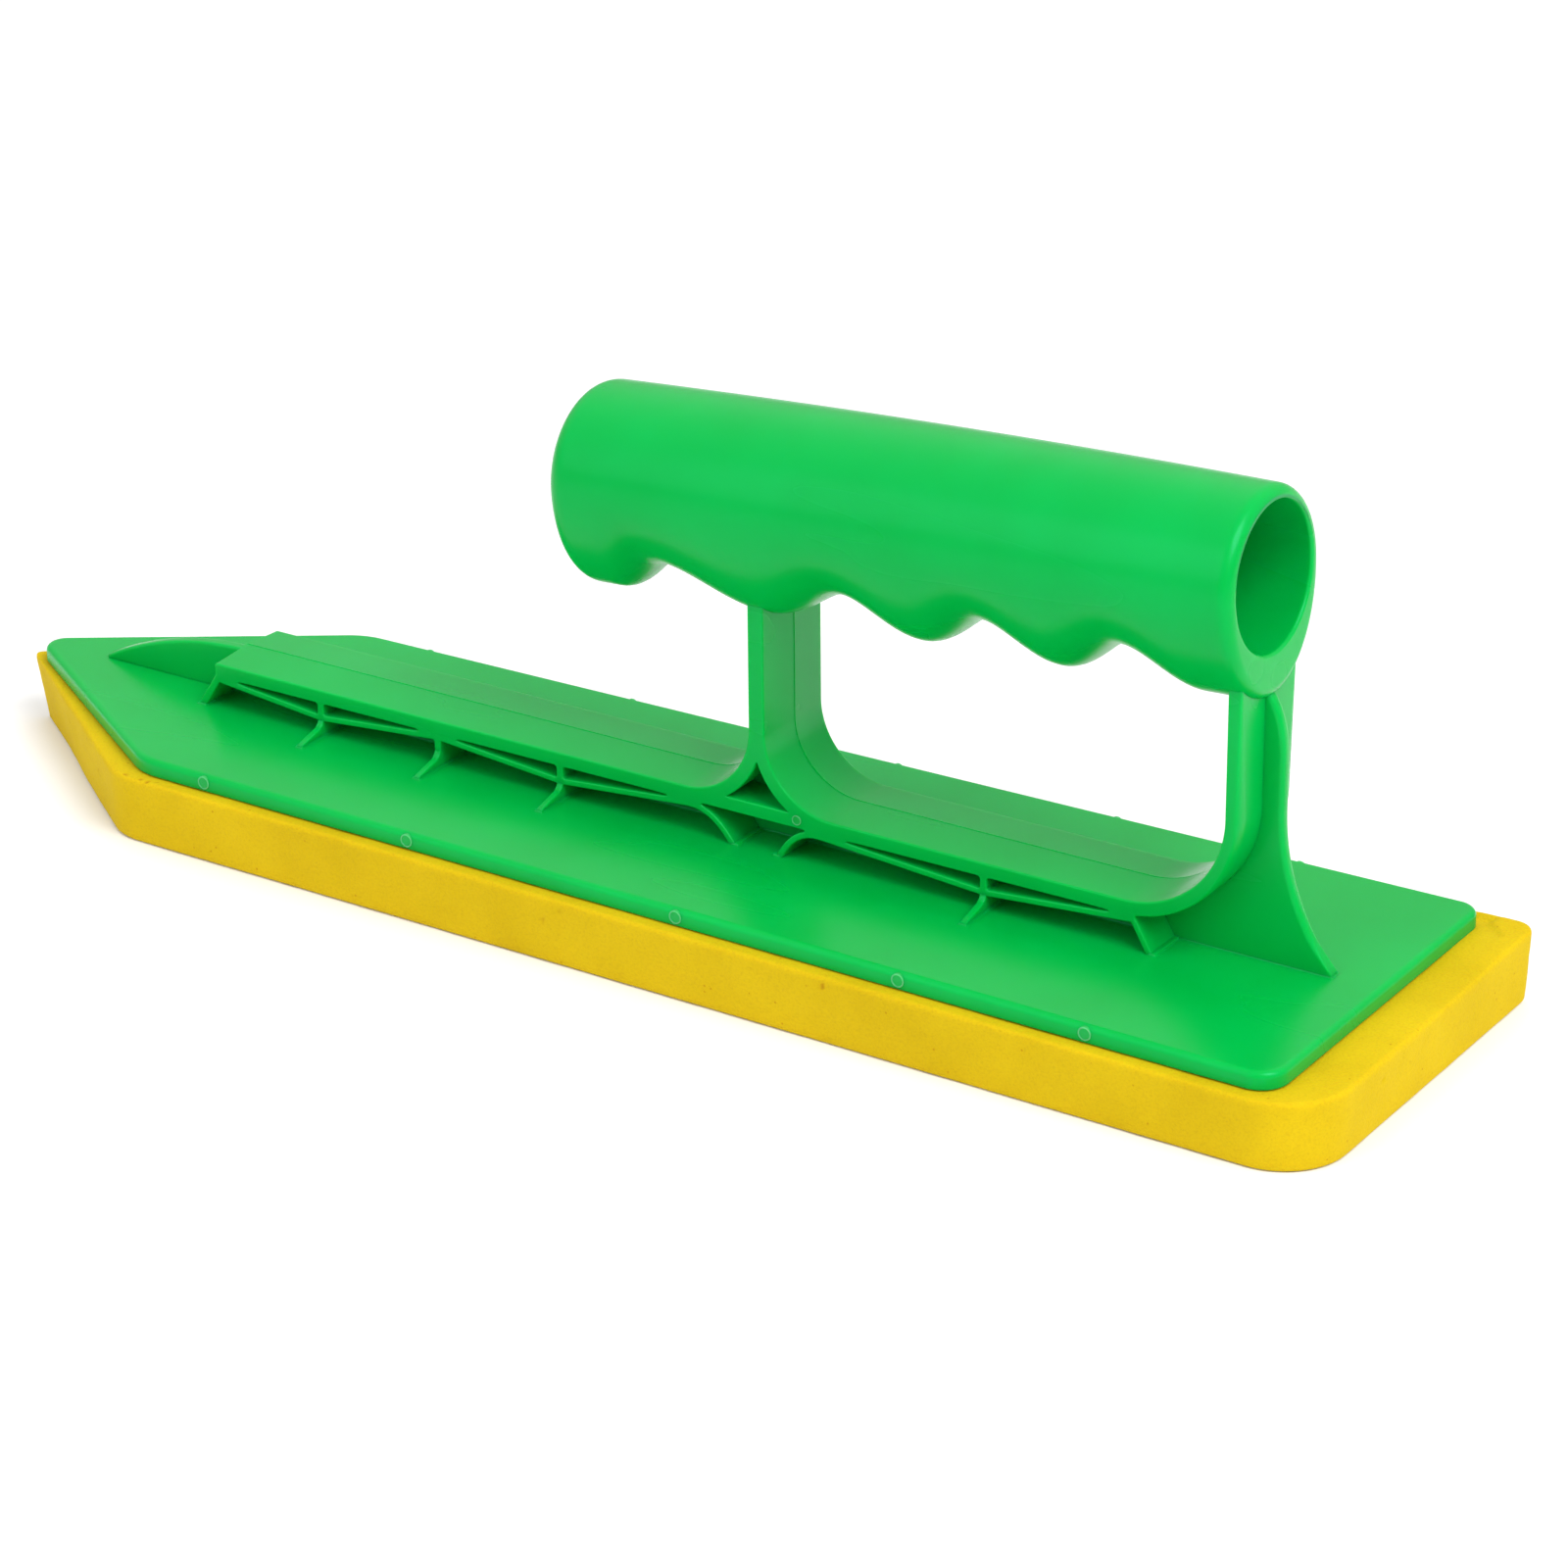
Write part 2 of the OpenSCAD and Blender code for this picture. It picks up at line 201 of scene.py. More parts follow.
def mitres(loop):
    """Direction away from the solid at each point of a closed loop that has it on its left."""
    ahead = np.roll(loop, -1, 0) - loop
    ahead /= np.linalg.norm(ahead, axis=1)[:, None]
    normal = np.c_[ahead[:, 1], -ahead[:, 0]]
    before = np.roll(normal, 1, 0)
    return (normal + before) / (1 + (normal * before).sum(1))[:, None]


def resampled(loop, spacing):
    """The same closed loop with evenly spaced points."""
    closed = np.r_[loop, loop[:1]]
    along = np.r_[0, np.cumsum(np.linalg.norm(np.diff(closed, axis=0), axis=1))]
    at = np.linspace(0, along[-1], int(round(along[-1] / spacing)), endpoint=False)
    return np.c_[np.interp(at, along, closed[:, 0]), np.interp(at, along, closed[:, 1])]


def smooth(t):
    """0 to 1 with flat ends."""
    t = np.clip(t, 0, 1)
    return t * t * (3 - 2 * t)


def within(points, edges):
    """True for each point that lies inside the outlines made by the edges, counting crossings."""
    (ax, ay), (bx, by) = edges[:, 0].T, edges[:, 1].T
    level = np.where(by == ay, 1.0, by - ay)
    inside = np.zeros(len(points), bool)
    for i, (x, y) in enumerate(points):
        crosses = (ay > y) != (by > y)
        inside[i] = np.count_nonzero(crosses & (x < ax + (y - ay) * (bx - ax) / level)) % 2
    return inside


class Shell:
    """Collects rings of points and the faces between them."""

    def __init__(self):
        self.rows, self.faces, self.count = [], [], 0

    def ring(self, points):
        """Adds a closed ring of points and returns its indices."""
        points = np.asarray(points, float)
        self.rows.append(points)
        ids = np.arange(self.count, self.count + len(points))
        self.count += len(points)
        return ids

    def bridge(self, a, b):
        """Quads from ring a to ring b."""
        self.faces += np.c_[a, np.roll(a, -1), np.roll(b, -1), b].tolist()

    def stack(self, rings):
        """Adds rings, joins each to the next, and returns the first and last."""
        ids = [self.ring(r) for r in rings]
        for a, b in zip(ids, ids[1:]):
            self.bridge(a, b)
        return ids[0], ids[-1]

    def fill(self, *loops):
        """Fills the flat area inside the first loop and outside the others."""
        points = np.concatenate(self.rows)
        every = np.concatenate(loops)
        normal = np.cross(points[loops[0]], np.roll(points[loops[0]], -1, 0)).sum(0)
        flat = np.delete(points[every], int(np.argmax(np.abs(normal))), axis=1)
        flat = flat.astype(np.float32).astype(float)      # as exact as the triangulation's own points
        edges, start = [], 0
        for loop in loops:
            ids = np.arange(start, start + len(loop))
            edges += np.c_[ids, np.roll(ids, -1)].tolist()
            start += len(loop)
        made, _, faces, source, _, _ = delaunay_2d_cdt([Vector(p) for p in flat], edges, [], 0, 1e-6)
        middles = np.array([np.mean([made[i] for i in face], axis=0) for face in faces])
        for face, inside in zip(faces, within(middles, flat[np.array(edges)])):
            if inside and all(source[i] for i in face):
                self.faces.append([int(every[source[i][0]]) for i in face])

    def piece(self, name, material, slot, nodes=(), place=None, sharp=40.0):
        """Makes the object and ties it to the frame."""
        points = np.concatenate(self.rows)
        if place is not None:
            points = place(points)
        mesh = bpy.data.meshes.new(name)
        mesh.from_pydata(metres(points).tolist(), [], self.faces)
        return finished(name, mesh, material, nodes, sharp)


def finished(name, mesh, material, nodes, sharp=40.0):
    """A mesh as a piece: clean, smoothly shaded, and riding on the frame."""
    bm = bmesh.new()
    bm.from_mesh(mesh)
    bmesh.ops.remove_doubles(bm, verts=bm.verts, dist=1e-7)
    bmesh.ops.dissolve_degenerate(bm, edges=bm.edges, dist=1e-7)
    bmesh.ops.recalc_face_normals(bm, faces=bm.faces)
    bm.to_mesh(mesh)
    bm.free()
    mesh.polygons.foreach_set("use_smooth", [True] * len(mesh.polygons))
    mesh.set_sharp_from_angle(angle=math.radians(sharp))
    mesh.materials.append(material)
    obj = bpy.data.objects.new(name, mesh)
    bpy.context.scene.collection.objects.link(obj)
    normals = obj.modifiers.new("normals", "WEIGHTED_NORMAL")
    normals.keep_sharp = True
    normals.weight = 90
    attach(obj, "root")
    if nodes:
        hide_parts(*nodes)
    return obj


# ---------------------------------------------------------------- side profiles as distance fields

class Field:
    """A side view sampled on a grid: each shape is its signed distance, negative inside."""

    def __init__(self, low, high, step):
        self.low, self.step = np.array(low, float), step
        self.x, self.z = np.meshgrid(np.arange(low[0], high[0], step),
                                     np.arange(low[1], high[1], step), indexing="ij")

    def box(self, x0, x1, z0, z1, r=0.45):
        """A rectangle with rounded corners."""
        dx = np.abs(self.x - (x0 + x1) / 2) - (x1 - x0) / 2 + r
        dz = np.abs(self.z - (z0 + z1) / 2) - (z1 - z0) / 2 + r
        return np.hypot(np.maximum(dx, 0), np.maximum(dz, 0)) + np.minimum(np.maximum(dx, dz), 0) - r

    def bar(self, path, half_t):
        """A strip of even thickness along a path of points."""
        best = np.full(self.x.shape, 1e3)
        for (x0, z0), (x1, z1) in zip(path, path[1:]):
            dx, dz = x1 - x0, z1 - z0
            t = np.clip(((self.x - x0) * dx + (self.z - z0) * dz) / (dx * dx + dz * dz), 0, 1)
            best = np.minimum(best, np.hypot(self.x - x0 - t * dx, self.z - z0 - t * dz))
        return best - half_t

    def bend(self, cx, cz, inner_r, outer_r, side):
        """A quarter bend below cz, on the side of cx that side gives as -1 or 1."""
        d = np.hypot(self.x - cx, self.z - cz)
        ring = np.maximum(inner_r - d, d - outer_r)
        return np.maximum(np.maximum(ring, (cx - self.x) * side), self.z - cz)

    def loops(self, field, tolerance=0.006):
        """Closed outlines of the field's zero level, with the solid on their left."""
        inside = (field < 0).astype(int)
        case = inside[:-1, :-1] + 2 * inside[1:, :-1] + 4 * inside[1:, 1:] + 8 * inside[:-1, 1:]
        steps = {1: "BL", 2: "RB", 3: "RL", 4: "TR", 5: "BLTR", 6: "TB", 7: "TL", 8: "LT", 9: "BT",
                 10: "RBLT", 11: "RT", 12: "LR", 13: "BR", 14: "LB"}
        edge = {"B": (0, 0, 0), "T": (0, 1, 0), "L": (0, 0, 1), "R": (1, 0, 1)}
        follow = {}
        for i, j in np.argwhere((case > 0) & (case < 15)):
            names = steps[case[i, j]]
            for a, b in zip(names[::2], names[1::2]):
                (ai, aj, ad), (bi, bj, bd) = edge[a], edge[b]
                follow[(i + ai, j + aj, ad)] = (i + bi, j + bj, bd)
        found = []
        while follow:
            key, after = follow.popitem()
            chain = [key]
            while after in follow:
                chain.append(after)
                after = follow.pop(after)
            loop = distinct(np.array([self.crossing(field, k) for k in chain]))
            if len(loop) > 8:
                found.append(thinned(loop, tolerance))
        return sorted(found, key=len, reverse=True)

    def crossing(self, field, key):
        """Where the zero level cuts a grid edge, which the key names by its start and direction."""
        i, j, upright = key
        a, b = field[i, j], field[i + 1 - upright, j + upright]
        at = np.array([i, j], float)
        at[upright] += a / (a - b)
        return self.low + at * self.step


def distinct(loop, gap=0.02):
    """Drops points of a closed loop that are closer than a gap to the one before."""
    return loop[np.linalg.norm(loop - np.roll(loop, 1, 0), axis=1) > gap]


def thinned(loop, tolerance):
    """Drops the points of a closed loop that lie on the line between their neighbours."""
    far = int(np.argmax(np.linalg.norm(loop - loop[0], axis=1)))
    closed = np.r_[loop, loop[:1]]
    keep = {0, far}
    todo = [(0, far), (far, len(loop))]
    while todo:
        a, b = todo.pop()
        if b - a < 2:
            continue
        line = closed[b] - closed[a]
        off = closed[a + 1:b] - closed[a]
        gap = np.abs(line[0] * off[:, 1] - line[1] * off[:, 0]) / max(np.linalg.norm(line), 1e-9)
        worst = int(np.argmax(gap))
        if gap[worst] > tolerance:
            middle = a + 1 + worst
            keep.add(middle)
            todo += [(a, middle), (middle, b)]
    return loop[sorted(keep)]


def blended(a, b, k):
    """Union of two fields with a fillet of about k where they meet."""
    h = np.maximum(k - np.abs(a - b), 0) / k
    return np.minimum(a, b) - h * h * k / 4


def curve_through(p, corner, q, steps=8):
    """Points on a curve from p to q that leaves each towards the corner."""
    t = np.linspace(0, 1, steps + 1)[:, None]
    return (1 - t) ** 2 * np.array(p) + 2 * t * (1 - t) * np.array(corner) + t ** 2 * np.array(q)


def profile_shell(loops, half_w, edge=(0.3, 0.3), lift=None, shift=(0.0, 0.0), steps=4):
    """A side profile as a solid of even width with rounded edges.

    edge is how far the rounding reaches into the profile and across the width, and may be a function
    of the points. lift raises the surface towards the centre plane, as a mould's draft does, and
    shift is how far the half beyond the centre plane stands off, which leaves a parting line.
    """
    shell = Shell()
    ends = ([], [])
    angles = np.radians(np.linspace(90, 0, steps + 1))
    for loop in loops:
        out = mitres(loop)
        deep, wide = edge(loop) if callable(edge) else (np.full(len(loop), e) for e in edge)
        rise = np.zeros(len(loop)) if lift is None else lift(loop)

        def section(side, across, inset):
            """The profile at a distance across from the centre plane, drawn in by an inset."""
            offset = rise * (1 - across / half_w) - inset
            flat = loop + out * offset[:, None]
            if side > 0:
                flat = flat + shift
            return np.c_[flat[:, 0], side * across, flat[:, 1]]

        rings = [section(-1, half_w - wide * (1 - math.sin(a)), deep * (1 - math.cos(a))) for a in angles]
        rings.append(section(-1, np.zeros(len(loop)), np.zeros(len(loop))))
        if lift is not None:
            rings.append(section(1, np.full(len(loop), 0.02), np.zeros(len(loop))))
        rings += [section(1, half_w - wide * (1 - math.sin(a)), deep * (1 - math.cos(a)))
                  for a in reversed(angles)]
        first, last = shell.stack(rings)
        ends[0].append(first)
        ends[1].append(last)
    for loops_at_end in ends:
        shell.fill(*loops_at_end)
    return shell


def along_float(x):
    """Turns a profile drawn across the float to stand at x."""
    return lambda points: np.c_[x + points[:, 1], points[:, 0], points[:, 2]]


# ---------------------------------------------------------------- node materials

def new_material(name, base, roughness):
    """A Principled material, with its node tree and shader."""
    material = bpy.data.materials.new(name)
    material.use_nodes = True
    shader = material.node_tree.nodes["Principled BSDF"]
    shader.inputs["Base Color"].default_value = (*base, 1)
    shader.inputs["Roughness"].default_value = roughness
    return material, material.node_tree, shader


def node(tree, kind, inputs=None, **settings):
    """A node with its settings, and each input either linked or given a value."""
    made = tree.nodes.new(kind)
    for name, value in settings.items():
        setattr(made, name, value)
    for name, value in (inputs or {}).items():
        if isinstance(value, bpy.types.NodeSocket):
            tree.links.new(value, made.inputs[name])
        else:
            made.inputs[name].default_value = value
    return made


def ramp(tree, factor, stops):
    """A colour ramp through (position, colour) stops."""
    made = node(tree, "ShaderNodeValToRGB", {"Fac": factor})
    points = made.color_ramp.elements
    while len(points) < len(stops):
        points.new(0.5)
    for point, (at, colour) in zip(points, stops):
        point.position = at
        point.color = (*colour, 1)
    return made.outputs["Color"]


def scaled(tree, value, factor, base):
    """value times factor plus base."""
    return node(tree, "ShaderNodeMath", {0: value, 1: factor, 2: base},
                operation="MULTIPLY_ADD").outputs[0]


def noise_of(tree, where, scale, detail=3.0, roughness=0.5):
    """The value of a noise texture."""
    return node(tree, "ShaderNodeTexNoise", {"Vector": where, "Scale": scale, "Detail": detail,
                                             "Roughness": roughness}).outputs["Fac"]


def plastic_material():
    """Satin injection-moulded polypropylene: slight cloudiness, flow marks, a few specks, and a painted
    highlight on the pin marks' rims.
    """
    material, tree, shader = new_material("green_polypropylene", (0.0, 0.5, 0.06), 0.3)
    where = node(tree, "ShaderNodeTexCoord").outputs["Object"]
    cloud = noise_of(tree, where, 38.0, 2.0)
    colour = ramp(tree, cloud, [(0.3, (0.0, 0.39, 0.05)), (0.7, (0.0, 0.435, 0.062))])

    specks = node(tree, "ShaderNodeTexVoronoi", {"Vector": where, "Scale": 75.0, "Randomness": 1.0})
    near = node(tree, "ShaderNodeMath", {0: specks.outputs["Distance"], 1: 0.014}, operation="LESS_THAN")
    chosen = node(tree, "ShaderNodeSeparateColor", {"Color": specks.outputs["Color"]})
    rare = node(tree, "ShaderNodeMath", {0: chosen.outputs[0], 1: 0.16}, operation="LESS_THAN")
    speck = node(tree, "ShaderNodeMath", {0: near.outputs[0], 1: rare.outputs[0]}, operation="MULTIPLY")
    colour = node(tree, "ShaderNodeMix", {"Factor": speck.outputs[0], "A": colour,
                                          "B": (0.0, 0.09, 0.02, 1)}, data_type="RGBA").outputs["Result"]
    # Painted highlight: paler green on the pin marks' rims, as much as the mark attribute gives
    mark = node(tree, "ShaderNodeAttribute", attribute_name="mark").outputs["Fac"]
    colour = node(tree, "ShaderNodeMix", {"Factor": mark, "A": colour, "B": (0.12, 0.55, 0.2, 1)},
                  data_type="RGBA").outputs["Result"]
    tree.links.new(colour, shader.inputs["Base Color"])

    stretched = node(tree, "ShaderNodeMapping", {"Vector": where, "Scale": (0.15, 1.0, 1.0)}).outputs[0]
    flow = noise_of(tree, stretched, 90.0, 1.0)
    tree.links.new(scaled(tree, flow, 0.03, 0.255), shader.inputs["Roughness"])
    grain = noise_of(tree, where, 2600.0, 2.0)
    height = node(tree, "ShaderNodeMix", {"Factor": 0.3, "A": flow, "B": grain}).outputs["Result"]
    bump = node(tree, "ShaderNodeBump", {"Strength": 0.08, "Distance": 0.0001, "Height": height})
    tree.links.new(bump.outputs["Normal"], shader.inputs["Normal"])
    shader.inputs["IOR"].default_value = 1.49
    shader.inputs["Specular Tint"].default_value = (0.25, 0.85, 0.8, 1)
    shader.inputs["Specular IOR Level"].default_value = 0.32
    shader.inputs["Subsurface Weight"].default_value = 0.55
    shader.inputs["Subsurface Radius"].default_value = (0.1, 1.0, 0.35)
    shader.inputs["Subsurface Scale"].default_value = 0.003
    return material


def foam_material():
    """Fine closed-cell foam: grainy yellow, with painted shade in tiny open pores and in a few pits."""
    material, tree, shader = new_material("yellow_foam", (0.86, 0.56, 0.01), 0.85)
    where = node(tree, "ShaderNodeTexCoord").outputs["Object"]
    cloud = noise_of(tree, where, 60.0, 3.0)
    base = ramp(tree, cloud, [(0.3, (0.59, 0.405, 0.001)), (0.7, (0.67, 0.47, 0.003))])
    cells = node(tree, "ShaderNodeTexVoronoi", {"Vector": where, "Scale": 1900.0, "Randomness": 1.0})
    grain = noise_of(tree, where, 2400.0, 3.0, 0.7)
    shade = ramp(tree, grain, [(0.3, (0.88, 0.84, 0.7)), (0.5, (1.0, 1.0, 1.0)), (0.75, (1.04, 1.05, 1.3))])
    colour = node(tree, "ShaderNodeMix", {"Factor": 0.8, "A": base, "B": shade}, data_type="RGBA",
                  blend_type="MULTIPLY").outputs["Result"]
    # Painted shade: a few cells get a darker spot, where an open pore would hold shade
    pores = node(tree, "ShaderNodeTexVoronoi", {"Vector": where, "Scale": 800.0, "Randomness": 1.0})
    open_pore = ramp(tree, pores.outputs["Distance"], [(0.1, (1, 1, 1)), (0.22, (0, 0, 0))])
    picked = node(tree, "ShaderNodeSeparateColor", {"Color": pores.outputs["Color"]})
    few = node(tree, "ShaderNodeMath", {0: picked.outputs[0], 1: 0.05}, operation="LESS_THAN")
    painted_pore_shade = node(tree, "ShaderNodeMath", {0: open_pore, 1: few.outputs[0]}, operation="MULTIPLY")
    colour = node(tree, "ShaderNodeMix", {"Factor": painted_pore_shade.outputs[0], "A": colour,
                                          "B": (0.5, 0.27, 0.0, 1)}, data_type="RGBA").outputs["Result"]
    # Painted shade: darker brown inside the pits, by how deep a point lies in one
    pit = node(tree, "ShaderNodeAttribute", attribute_name="pit").outputs["Fac"]
    colour = node(tree, "ShaderNodeMix", {"Factor": pit, "A": colour, "B": (0.4, 0.16, 0.0, 1)},
                  data_type="RGBA").outputs["Result"]
    tree.links.new(colour, shader.inputs["Base Color"])

    height = node(tree, "ShaderNodeMix", {"Factor": 0.5, "A": grain, "B": cells.outputs["Distance"]})
    bump = node(tree, "ShaderNodeBump", {"Strength": 0.45, "Distance": 0.00025,
                                         "Height": height.outputs["Result"]})
    tree.links.new(bump.outputs["Normal"], shader.inputs["Normal"])
    tree.links.new(scaled(tree, grain, 0.2, 0.72), shader.inputs["Roughness"])
    shader.inputs["Specular IOR Level"].default_value = 0.15
    shader.inputs["Subsurface Weight"].default_value = 0.2
    shader.inputs["Subsurface Radius"].default_value = (1.0, 0.6, 0.05)
    shader.inputs["Subsurface Scale"].default_value = 0.002
    return material


def glue_material():
    """Brushed contact adhesive, cloudy and slightly tacky."""
    material, tree, shader = new_material("contact_adhesive", (0.7, 0.66, 0.5), 0.4)
    where = node(tree, "ShaderNodeTexCoord").outputs["Object"]
    streaks = node(tree, "ShaderNodeMapping", {"Vector": where, "Scale": (0.3, 1.0, 1.0)}).outputs[0]
    strokes = noise_of(tree, streaks, 420.0, 4.0, 0.6)
    tree.links.new(ramp(tree, strokes, [(0.3, (0.55, 0.42, 0.12)), (0.7, (0.68, 0.56, 0.22))]),
                   shader.inputs["Base Color"])
    tree.links.new(scaled(tree, strokes, 0.3, 0.3), shader.inputs["Roughness"])
    bump = node(tree, "ShaderNodeBump", {"Strength": 0.4, "Distance": 0.0001, "Height": strokes})
    tree.links.new(bump.outputs["Normal"], shader.inputs["Normal"])
    return material


PLASTIC = plastic_material()
FOAM = foam_material()
GLUE = glue_material()


def moulded(shell, name, nodes=(), **options):
    """A shell as a piece of the green moulding."""
    return shell.piece(name, PLASTIC, "green_plastic", nodes, **options)


# ---------------------------------------------------------------- plate

FILLET = 0.4
PLATE_EDGE_R = 1.1
PLATE_LOW_R = 0.15
WALL_HALF_T = END_WALL_T / 2


def feet_outline(margin):
    """Outline round the feet of the web, ribs, struts and end wall, grown by a margin."""
    end_wall = END_WALL_FOOT + WALL_HALF_T
    feet = [(end_wall, WALL_HALF_T, RAIL_HALF)]
    feet += [(x, RIB_HALF_T, RIB_FOOT) for x in RIB_X]
    feet += [(x, STRUT_HALF_T, RAIL_HALF) for x in (FRONT_LEG_FOOT, MIDDLE_LEG_FOOT, REAR_LEG_FOOT)]
    w = WEB_HALF + margin
    near = []
    for x, half_t, reach in sorted(feet):
        left, right, end = x - half_t - margin, x + half_t + margin, -reach - margin
        if x > end_wall:
            near.append((left, -w))
        near += [(left, end), (right, end), (right, -w)]
    near.append((GUSSET_TIP + margin, -w))
    return np.array(near + [(x, -y) for x, y in reversed(near)])


def level(loop, z):
    """A plan outline at a height."""
    return np.c_[loop, np.full(len(loop), z)]


def base_plate():
    """Plate with a rounded top edge and a small fillet where everything stands on it."""
    radii = [PLATE_REAR_R, PLATE_FAR_R, SHOULDER_R, NOSE_R, SHOULDER_R]
    loop = rounded(pentagon(0, 0), radii, 12)
    out = mitres(loop)
    shell = Shell()
    rings = []
    for a in np.radians(np.linspace(0, 90, 4)):
        drawn_in = out * PLATE_LOW_R * (1 - math.sin(a))
        rings.append(level(loop - drawn_in, -PLATE_T + PLATE_LOW_R * (1 - math.cos(a))))
    for a in np.radians(np.linspace(0, 90, 7)):
        drawn_in = out * PLATE_EDGE_R * (1 - math.cos(a))
        rings.append(level(loop - drawn_in, PLATE_EDGE_R * (math.sin(a) - 1)))
    bottom, top = shell.stack(rings)
    shell.fill(bottom)
    fillet = [level(feet_outline(FILLET * (1 - math.sin(a))), FILLET * (1 - math.cos(a)))
              for a in np.radians(np.linspace(0, 90, 5))]
    foot, crest = shell.stack(fillet)
    shell.fill(top, foot)
    shell.fill(crest)
    return moulded(shell, "plate", ["base_plate"])


# ---------------------------------------------------------------- rail, posts and struts

MIDDLE_Z = RAIL_TOP + MIDDLE_R
REAR_Z = RAIL_TOP + REAR_R
OVERLAP = 0.6
MIDDLE_POST_TOP = 46.5
REAR_POST_TOP = 51.0
POST_EDGE_R = 0.9
PARTING_STEP = (0.12, 0.1)
FINE_EDGE = (0.25, 0.3)
BROAD_EDGE = (0.55, 2.2)                # added on the back of the rear post
POST_CROWN_LOSS = 0.4
CROWN_START = 0.6

GRID = 0.125
MEMBER_FILLET = 0.5
FRAME_FILLET = 0.7
UNDER_PLATE_TOP = -1.0
RIB_WEB_LOW = 2.9
FRONT_PEAK = RAIL_FRONT + 1.5
FRONT_LEG_HEAD = -124.5
FRONT_LEG_BEND = (-119.2, 5.6)
MIDDLE_LEG_BEND = (-104.2, 5.9)
MIDDLE_LEG_HEAD = -98.5
REAR_LEG_HEAD = -40.0


def side_frame():
    """Rail, end wall, both posts and the truss under the rail, drawn as one side profile."""
    view = Field((END_WALL_FOOT - 3, -2.6), (REAR_POST_BACK + 2, REAR_POST_TOP + 2), GRID)
    wall_lean = math.atan((RAIL_FRONT - END_WALL_FOOT) / RAIL_UNDER)
    strips = [
        view.box(RAIL_FRONT, RAIL_REAR + OVERLAP, RAIL_UNDER, RAIL_TOP),
        view.bend(MIDDLE_LOW, MIDDLE_Z, MIDDLE_R, MIDDLE_R + STRIP_T, 1),
        view.bend(MIDDLE_HIGH, MIDDLE_Z, MIDDLE_R, MIDDLE_R + STRIP_T, -1),
        view.box(COLUMN_FRONT, COLUMN_REAR, MIDDLE_Z - 2 * OVERLAP, MIDDLE_POST_TOP, POST_EDGE_R),
        view.bend(REAR_CURVE_X, REAR_Z, REAR_R, REAR_R + STRIP_T, 1),
        view.box(REAR_POST_FRONT, REAR_POST_BACK, REAR_Z - 2 * OVERLAP, REAR_POST_TOP, POST_EDGE_R),
        view.bar([(END_WALL_FOOT + WALL_HALF_T - math.tan(wall_lean), UNDER_PLATE_TOP),
                  (RAIL_FRONT + WALL_HALF_T, RAIL_UNDER + 0.3)], WALL_HALF_T * math.cos(wall_lean)),
    ]
    front_zigzag = [(FRONT_PEAK, STRUT_HIGH), (RIB_X[0], STRUT_LOW), (RIB_X[1], STRUT_HIGH),
                    (RIB_X[2], STRUT_LOW), (FRONT_LEG_HEAD, STRUT_HIGH)]
    front_leg = curve_through(front_zigzag[-1], FRONT_LEG_BEND, (FRONT_LEG_FOOT, UNDER_PLATE_TOP))
    middle_leg = curve_through((MIDDLE_LEG_FOOT, UNDER_PLATE_TOP), MIDDLE_LEG_BEND,
                               (MIDDLE_LEG_HEAD, STRUT_HIGH))
    rear_zigzag = [(RIB_X[3], STRUT_LOW), (REAR_LEG_HEAD, STRUT_HIGH), (REAR_LEG_FOOT, UNDER_PLATE_TOP)]
    members = [
        view.bar(front_zigzag + list(front_leg[1:]), STRUT_HALF_T),
        view.bar(list(middle_leg) + rear_zigzag, STRUT_HALF_T),
    ]
    members += [view.box(x - RIB_HALF_T, x + RIB_HALF_T, RIB_WEB_LOW, RAIL_UNDER + 1) for x in RIB_X]
    solid = strips[0]
    for strip in strips[1:]:
        solid = np.minimum(solid, strip)
    truss = members[0]
    for member in members[1:]:
        truss = blended(truss, member, MEMBER_FILLET)
    return view.loops(blended(solid, truss, FRAME_FILLET))


def signed_area(loop):
    """Area inside a loop, negative where the loop is the edge of a hole."""
    x, z = loop.T
    return 0.5 * np.sum(x * np.roll(z, -1) - np.roll(x, -1) * z)


def behind_rear_post(loop):
    """1 for points on the outer side of the rear curve and post, 0 elsewhere."""
    x, z = loop.T
    out = np.where(z < REAR_Z, np.hypot(x - REAR_CURVE_X, z - REAR_Z), x - REAR_CURVE_X)
    return ((x > REAR_CURVE_X) & (out > REAR_R + STRIP_T / 2)).astype(float)


def frame_lift(loop):
    """Draft of the faces above the rail: less on the posts, and none at the rail's front."""
    if signed_area(loop) < 0:
        return np.zeros(len(loop))
    x, z = loop.T
    full = RAIL_CROWN * (1 - POST_CROWN_LOSS * smooth((z - RAIL_TOP) / 10))
    full = full * smooth((x - RAIL_FRONT) / CROWN_START)
    return full * smooth((z - RAIL_TOP + 1.0) / 0.9) * (1 - behind_rear_post(loop))


def frame_edge(loop):
    """Edge rounding: small, but broad on the back of the rear post."""
    z = loop[:, 1]
    broad = behind_rear_post(loop) * smooth((z - RAIL_UNDER) / 14) * (z < REAR_POST_TOP - 1.5)
    return FINE_EDGE[0] + BROAD_EDGE[0] * broad, FINE_EDGE[1] + BROAD_EDGE[1] * broad


def rail_and_posts():
    """The side profile made solid, with the parting line of the mould on the centre plane."""
    shell = profile_shell(side_frame(), RAIL_HALF, frame_edge, frame_lift, shift=PARTING_STEP)
    return moulded(shell, "rail_and_posts",
                   ["rail_strip", "rail_end_wall", "middle_post", "rear_post", "front_truss", "rear_truss"])


# ---------------------------------------------------------------- webs on the centre plane

ROOT = -0.3
BLUNT_TIP = 0.5
TONGUE_HALF = 7.8
TONGUE_TOP = 17.5
ARCH_LOW = 35.5
ARCH_BEND = 42.5
ARCH_TOP = 46.2


